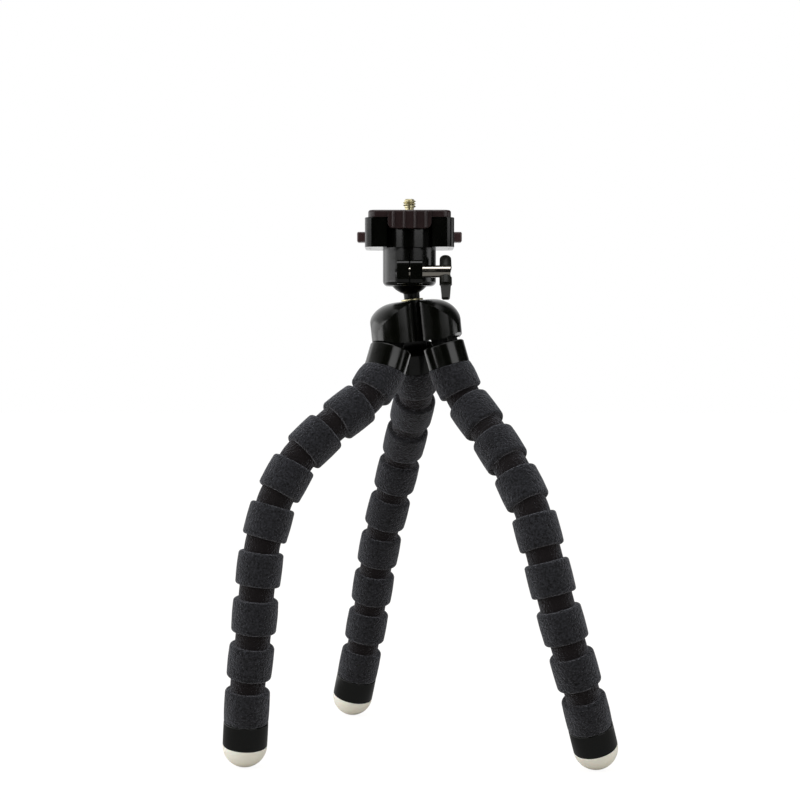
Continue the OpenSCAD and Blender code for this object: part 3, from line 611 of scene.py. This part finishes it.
# Release plate: a slab with a hole for the screw, a ribbed tab in front, and the boss of the CAD solid below
plateForm = {
    "slab": 3.6, "depth": 37.0, "corner": 4.0, "cornerSteps": 11, "hole": 3.3,
    "topRound": 1.1, "topSteps": 5, "lowRound": 0.25, "holeRim": 1.0,  # the rim of the hole stays sharper
    "tabWidth": 21.5, "tabHeight": 9.2, "tabDeep": 3.0, "tabProud": 1.0, "tabCorner": 2.8, "tabEdge": 0.5,
    "tabDrop": 0.08,  # keeps the tab's top out of the slab's
    "ridges": 4, "ridgePitch": 5.375, "ridgeRadius": 0.8, "ridgeSides": 20,
    "ridgeEnd": 0.6, "ridgeRound": 0.5,
    "bossRise": 0.02, "bossFront": -12.0,  # cut just above the holder's top, and behind the CAD tab
}


def plateSlab(top):
    f = plateForm
    bm = bmesh.new()
    bmesh.ops.create_grid(bm, x_segments=1, y_segments=1, size=0.5)
    bmesh.ops.scale(bm, vec=((plateHigh.x - plateLow.x) * mm, f["depth"] * mm, 1), verts=bm.verts)
    bmesh.ops.bevel(bm, geom=bm.verts[:], offset=f["corner"] * mm, offset_type="OFFSET",
                    segments=f["cornerSteps"], profile=0.5, affect="VERTICES", material=-1)
    bmesh.ops.delete(bm, geom=bm.faces[:], context="FACES_ONLY")
    bmesh.ops.create_circle(bm, cap_ends=False, segments=len(bm.verts), radius=f["hole"] * mm)
    ring = bmesh.ops.bridge_loops(bm, edges=bm.edges[:])["faces"]
    bmesh.ops.translate(bm, vec=(0, 0, (top - f["slab"]) * mm), verts=bm.verts)
    grown = bmesh.ops.extrude_face_region(bm, geom=ring)["geom"]
    raised = [g for g in grown if isinstance(g, bmesh.types.BMVert)]
    bmesh.ops.translate(bm, vec=(0, 0, f["slab"] * mm), verts=raised)
    bmesh.ops.recalc_face_normals(bm, faces=bm.faces)
    outside = f["hole"] + f["holeRim"]
    roundEdges(bm, f["topRound"], lambda at: at.z > top - near and at.xy.length > outside, f["topSteps"])
    roundEdges(bm, f["lowRound"])
    return bm


def plateRidge(tab, middle):
    f = plateForm
    radius = f["ridgeRadius"] * mm
    made = bmesh.ops.create_cone(tab, cap_ends=True, segments=f["ridgeSides"], radius1=radius, radius2=radius,
                                 depth=(f["tabHeight"] - f["ridgeEnd"]) * mm)["verts"]
    bmesh.ops.translate(tab, vec=middle, verts=made)
    ends = [e for v in made for e in v.link_edges if abs(e.verts[0].co.z - e.verts[1].co.z) < 1e-6]
    bmesh.ops.bevel(tab, geom=list(dict.fromkeys(ends)), offset=f["ridgeRound"] * mm, offset_type="OFFSET",
                    segments=3, profile=0.5, affect="EDGES", clamp_overlap=True, material=-1)


def plateTab(bm, slabTop):
    f = plateForm
    half = f["tabWidth"] / 2
    front = -f["depth"] / 2 - f["tabProud"]
    low = slabTop - f["tabHeight"]
    top = slabTop - f["tabDrop"]
    tab = bmesh.new()
    bmesh.ops.create_cube(tab, size=1.0)
    bmesh.ops.scale(tab, vec=(f["tabWidth"] * mm, f["tabDeep"] * mm, (top - low) * mm), verts=tab.verts)
    middle = (0, (front + f["tabDeep"] / 2) * mm, (low + top) / 2 * mm)
    bmesh.ops.translate(tab, vec=middle, verts=tab.verts)
    roundEdges(tab, f["tabCorner"], lambda at: at.z < low + near and abs(at.x) > half - near, segments=6)
    roundEdges(tab, f["topRound"], lambda at: at.z > top - near and at.y < front + near, f["topSteps"])
    roundEdges(tab, f["tabEdge"], lambda at: at.z < top - near)
    bmesh.ops.remove_doubles(tab, verts=tab.verts, dist=1e-6)
    bmesh.ops.dissolve_degenerate(tab, dist=1e-6, edges=tab.edges[:])
    for i in range(f["ridges"]):
        x = (i - (f["ridges"] - 1) / 2) * f["ridgePitch"]
        plateRidge(tab, (x * mm, front * mm, (low + top - f["ridgeEnd"]) / 2 * mm))
    addMesh(bm, tab)


def plateBoss(bm):
    boss = mergedCopy("release_plate")
    bmesh.ops.bisect_plane(boss, geom=boss.verts[:] + boss.edges[:] + boss.faces[:], dist=1e-7,
                           plane_co=(0, 0, (holderHigh.z + plateForm["bossRise"]) * mm), plane_no=(0, 0, 1),
                           clear_outer=True)
    tabVerts = [v for v in boss.verts if v.co.y < plateForm["bossFront"] * mm]
    bmesh.ops.delete(boss, geom=tabVerts, context="VERTS")
    rim = [e for e in boss.edges if e.is_boundary]
    bmesh.ops.triangle_fill(boss, use_beauty=True, use_dissolve=False, edges=rim, normal=(0, 0, 1))
    bmesh.ops.recalc_face_normals(boss, faces=boss.faces)
    addMesh(bm, boss)


plateTop = plateHigh.z
plateMesh = plateSlab(plateTop)
plateTab(plateMesh, plateTop)
plateBoss(plateMesh)
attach(weighNormals(makePiece(plateMesh, "releasePlate", "maroon_black", ["release_plate"])), "plate")


# Camera screw: a quarter-inch thread of 20 turns to the inch, cut as a ridge that winds up round the core
screwForm = {
    "pitch": 1.27, "crest": 3.175, "root": 2.5, "flat": 0.12, "thread": 4.3, "lead": 0.5,
    "ridgeSunk": 0.1, "ridgeShare": 0.98,  # how deep the ridge sits in the core, and its share of the pitch
    "neck": 2.2, "neckLength": 2.3, "neckCone": 0.2,
    "head": 6.4, "headHigh": 3.0, "headDrop": 3.8, "headEdge": 0.4, "coreSteps": 64, "turnSteps": 32,
}


def screwCore(base):
    f = screwForm
    start = base + f["neckLength"]
    tip = start + f["thread"]
    headTop = base - f["headDrop"]
    headLow = headTop - f["headHigh"]
    edge = f["headEdge"]
    profile = [(0, headLow)] + arcPoints(f["head"] - edge, headLow + edge, edge, -90, 0, count=3)
    profile += [(f["head"], headTop), (f["neck"], headTop), (f["neck"], start - f["neckCone"])]
    profile += [(f["root"], start), (f["root"], tip - f["lead"]), (f["root"] - f["lead"], tip), (0, tip)]
    return spinProfile(profile, f["coreSteps"])


def screwThread(base):
    f = screwForm
    start = base + f["neckLength"]
    half = f["pitch"] / 2
    sunk = f["root"] - f["ridgeSunk"]
    ridge = [(sunk, 0), (f["crest"], half - f["flat"]), (f["crest"], half + f["flat"])]
    ridge.append((sunk, f["pitch"] * f["ridgeShare"]))
    thread = bmesh.new()
    verts = [thread.verts.new((r * mm, 0, (start + z) * mm)) for r, z in ridge]
    edges = [thread.edges.new(pair) for pair in zip(verts, verts[1:] + verts[:1])]
    turns = (f["thread"] - f["lead"] - f["pitch"]) / f["pitch"]
    steps = round(turns * f["turnSteps"])
    wound = bmesh.ops.spin(thread, geom=verts + edges, cent=(0, 0, 0), axis=(0, 0, 1),
                           dvec=(0, 0, f["pitch"] * turns / steps * mm), angle=2 * math.pi * turns,
                           steps=steps, use_duplicate=False)
    last = [g for g in wound["geom_last"] if isinstance(g, bmesh.types.BMVert)]
    for end in (verts, last):
        bmesh.ops.contextual_create(thread, geom=end)
    bmesh.ops.recalc_face_normals(thread, faces=thread.faces)
    return thread


screwMesh = screwCore(plateTop)
addMesh(screwMesh, screwThread(plateTop))
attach(makePiece(screwMesh, "cameraScrew", "brass", ["camera_screw"]), "camera_screw")
print("plate and screw made")


# Studio, in metres: white table and backdrop, dark towards the camera, with soft boxes that draw bands
# on the black parts
studio = {
    "front": 0.0, "frontFill": 0.3, "behind": 1.0, "leftBias": -0.6, "fillFrom": -0.6, "fillFull": 0.8,
    "mirrorBias": -0.5, "mirrorFrom": 0.35, "mirrorFull": 1.1, "overheadFrom": 0.72, "overheadFull": 0.95,
    "table": "#cfcac2", "tableShare": 0.8, "tableGlow": 1.15, "tableFront": -0.8, "tableHalf": 3.0,
    # the table's near, dark and bright values set the painted shade of its glow as gloss sees it
    "tableNear": 0.17, "tableDark": 0.1, "tableBright": 0.8,
}
softBoxes = {
    "leftBox": {"place": (-0.795, -0.423, 0.52), "aim": (0, 0, 0.52), "size": (1.25, 0.4), "power": 2.9},
    "lowLeftBox": {"place": (-0.886, -0.156, 0.15), "aim": (0, 0, 0.15), "size": (0.5, 0.22), "power": 1.0},
    "rightBox": {"place": (0.554, -0.709, 0.52), "aim": (0, 0, 0.52), "size": (0.66, 0.4), "power": 1.5},
    "backLeftBox": {"place": (-0.85, 0.4, 0.28), "aim": (0, 0, 0.28), "size": (0.6, 0.5), "power": 1.1},
    "lowRightBox": {"place": (0.9, 0.05, 0.2), "aim": (0, 0, 0.2), "size": (0.4, 0.3), "power": 0.6},
    "overheadBox": {"place": (0, -0.3, 1.1), "aim": (0, 0, 0.25), "size": (0.8, 0.5), "power": 2.0},
}


# The camera sees white; the gloss sees a dark front and a white back and top; the rest is lit softly
# from behind, above and the left
def studioWorld():
    world = bpy.data.worlds.new("studioWorld")
    world.use_nodes = True
    bpy.context.scene.world = world
    tree = world.node_tree
    tree.nodes.clear()
    direction = addNode(tree, "ShaderNodeTexCoord").outputs["Generated"]
    parts = addNode(tree, "ShaderNodeSeparateXYZ", None, {0: direction})
    ray = addNode(tree, "ShaderNodeLightPath")
    away = addNode(tree, "ShaderNodeMath", {"operation": "ADD"}, {
        0: parts.outputs["Y"], 1: parts.outputs["Z"],
    })
    level = addNode(tree, "ShaderNodeMath", {"operation": "MULTIPLY_ADD", 1: studio["mirrorBias"]}, {
        0: parts.outputs["X"], 2: parts.outputs["Y"],
    })
    sharp = addNode(tree, "ShaderNodeMapRange", {
        "From Min": studio["mirrorFrom"], "From Max": studio["mirrorFull"],
        "To Min": studio["front"], "To Max": studio["behind"],
    }, {"Value": level.outputs[0]})
    leftward = addNode(tree, "ShaderNodeMath", {"operation": "MULTIPLY_ADD", 1: studio["leftBias"]}, {
        0: parts.outputs["X"], 2: away.outputs[0],
    })
    soft = addNode(tree, "ShaderNodeMapRange", {
        "From Min": studio["fillFrom"], "From Max": studio["fillFull"],
        "To Min": studio["frontFill"], "To Max": studio["behind"],
    }, {"Value": leftward.outputs[0]})
    overhead = addNode(tree, "ShaderNodeMapRange", {
        "From Min": studio["overheadFrom"], "From Max": studio["overheadFull"],
    }, {"Value": parts.outputs["Z"]})
    brighter = addNode(tree, "ShaderNodeMath", {"operation": "MAXIMUM"}, {
        0: sharp.outputs[0], 1: overhead.outputs[0],
    })
    mirrored = addNode(tree, "ShaderNodeBackground", None, {"Color": brighter.outputs[0]})
    scattered = addNode(tree, "ShaderNodeBackground", None, {"Color": soft.outputs[0]})
    white = addNode(tree, "ShaderNodeBackground", {"Color": (1, 1, 1, 1)})
    byGloss = addNode(tree, "ShaderNodeMixShader", None, {
        0: ray.outputs["Is Glossy Ray"], 1: scattered.outputs[0], 2: mirrored.outputs[0],
    })
    byCamera = addNode(tree, "ShaderNodeMixShader", None, {
        0: ray.outputs["Is Camera Ray"], 1: byGloss.outputs[0], 2: white.outputs[0],
    })
    addNode(tree, "ShaderNodeOutputWorld", None, {"Surface": byCamera.outputs[0]})


# Matt table that keeps the shadow: the camera sees it mostly as white; gloss sees its glow with painted shade, dim
# near the object
def tableMaterial():
    material = bpy.data.materials.new("whiteTable")
    material.use_nodes = True
    tree = material.node_tree
    tree.nodes.clear()
    ray = addNode(tree, "ShaderNodeLightPath")
    coords = addNode(tree, "ShaderNodeTexCoord").outputs["Object"]
    place = addNode(tree, "ShaderNodeSeparateXYZ", None, {0: coords})
    # painted shade in reflections: the glow that gloss sees grows from dim near the object to full further back
    depth = addNode(tree, "ShaderNodeMapRange", {
        "From Min": studio["tableDark"], "From Max": studio["tableBright"], "To Min": studio["tableNear"],
    }, {"Value": place.outputs["Y"]})
    direct = addNode(tree, "ShaderNodeMath", {"operation": "MULTIPLY", 1: studio["tableShare"]}, {
        0: ray.outputs["Is Camera Ray"],
    })
    mirrored = addNode(tree, "ShaderNodeMath", {"operation": "MAXIMUM"}, {
        0: ray.outputs["Is Glossy Ray"], 1: ray.outputs["Is Transmission Ray"],
    })
    share = addNode(tree, "ShaderNodeMath", {"operation": "MAXIMUM"}, {
        0: direct.outputs[0], 1: mirrored.outputs[0],
    })
    level = addNode(tree, "ShaderNodeMath", {"operation": "MAXIMUM"}, {
        0: ray.outputs["Is Camera Ray"], 1: depth.outputs[0],
    })
    strength = addNode(tree, "ShaderNodeMath", {"operation": "MULTIPLY", 1: studio["tableGlow"]}, {
        0: level.outputs[0],
    })
    matt = addNode(tree, "ShaderNodeBsdfDiffuse", {"Color": linear(studio["table"])})
    bright = addNode(tree, "ShaderNodeEmission", None, {"Strength": strength.outputs[0]})
    mixed = addNode(tree, "ShaderNodeMixShader", None, {
        0: share.outputs[0], 1: matt.outputs[0], 2: bright.outputs[0],
    })
    addNode(tree, "ShaderNodeOutputMaterial", None, {"Surface": mixed.outputs[0]})
    return material


def softBox(name, form):
    data = bpy.data.lights.new(name, "AREA")
    data.shape = "RECTANGLE"
    data.size, data.size_y = form["size"]
    data.energy = form["power"]
    box = bpy.data.objects.new(name, data)
    box.location = form["place"]
    towards = Vector(form["aim"]) - Vector(form["place"])
    box.rotation_euler = towards.to_track_quat("-Z", "Y").to_euler()
    bpy.context.scene.collection.objects.link(box)


studioWorld()
tableMesh = bpy.data.meshes.new("table")
tableBm = bmesh.new()
bmesh.ops.create_grid(tableBm, x_segments=1, y_segments=1, size=studio["tableHalf"])
bmesh.ops.translate(tableBm, vec=(0, studio["tableFront"] + studio["tableHalf"], 0), verts=tableBm.verts)
tableBm.to_mesh(tableMesh)
tableBm.free()
tableMesh.materials.append(tableMaterial())
table = bpy.data.objects.new("table", tableMesh)
bpy.context.scene.collection.objects.link(table)
for boxName, boxForm in softBoxes.items():
    softBox(boxName, boxForm)
bpy.context.scene.view_settings.view_transform = "Standard"
print("studio made")
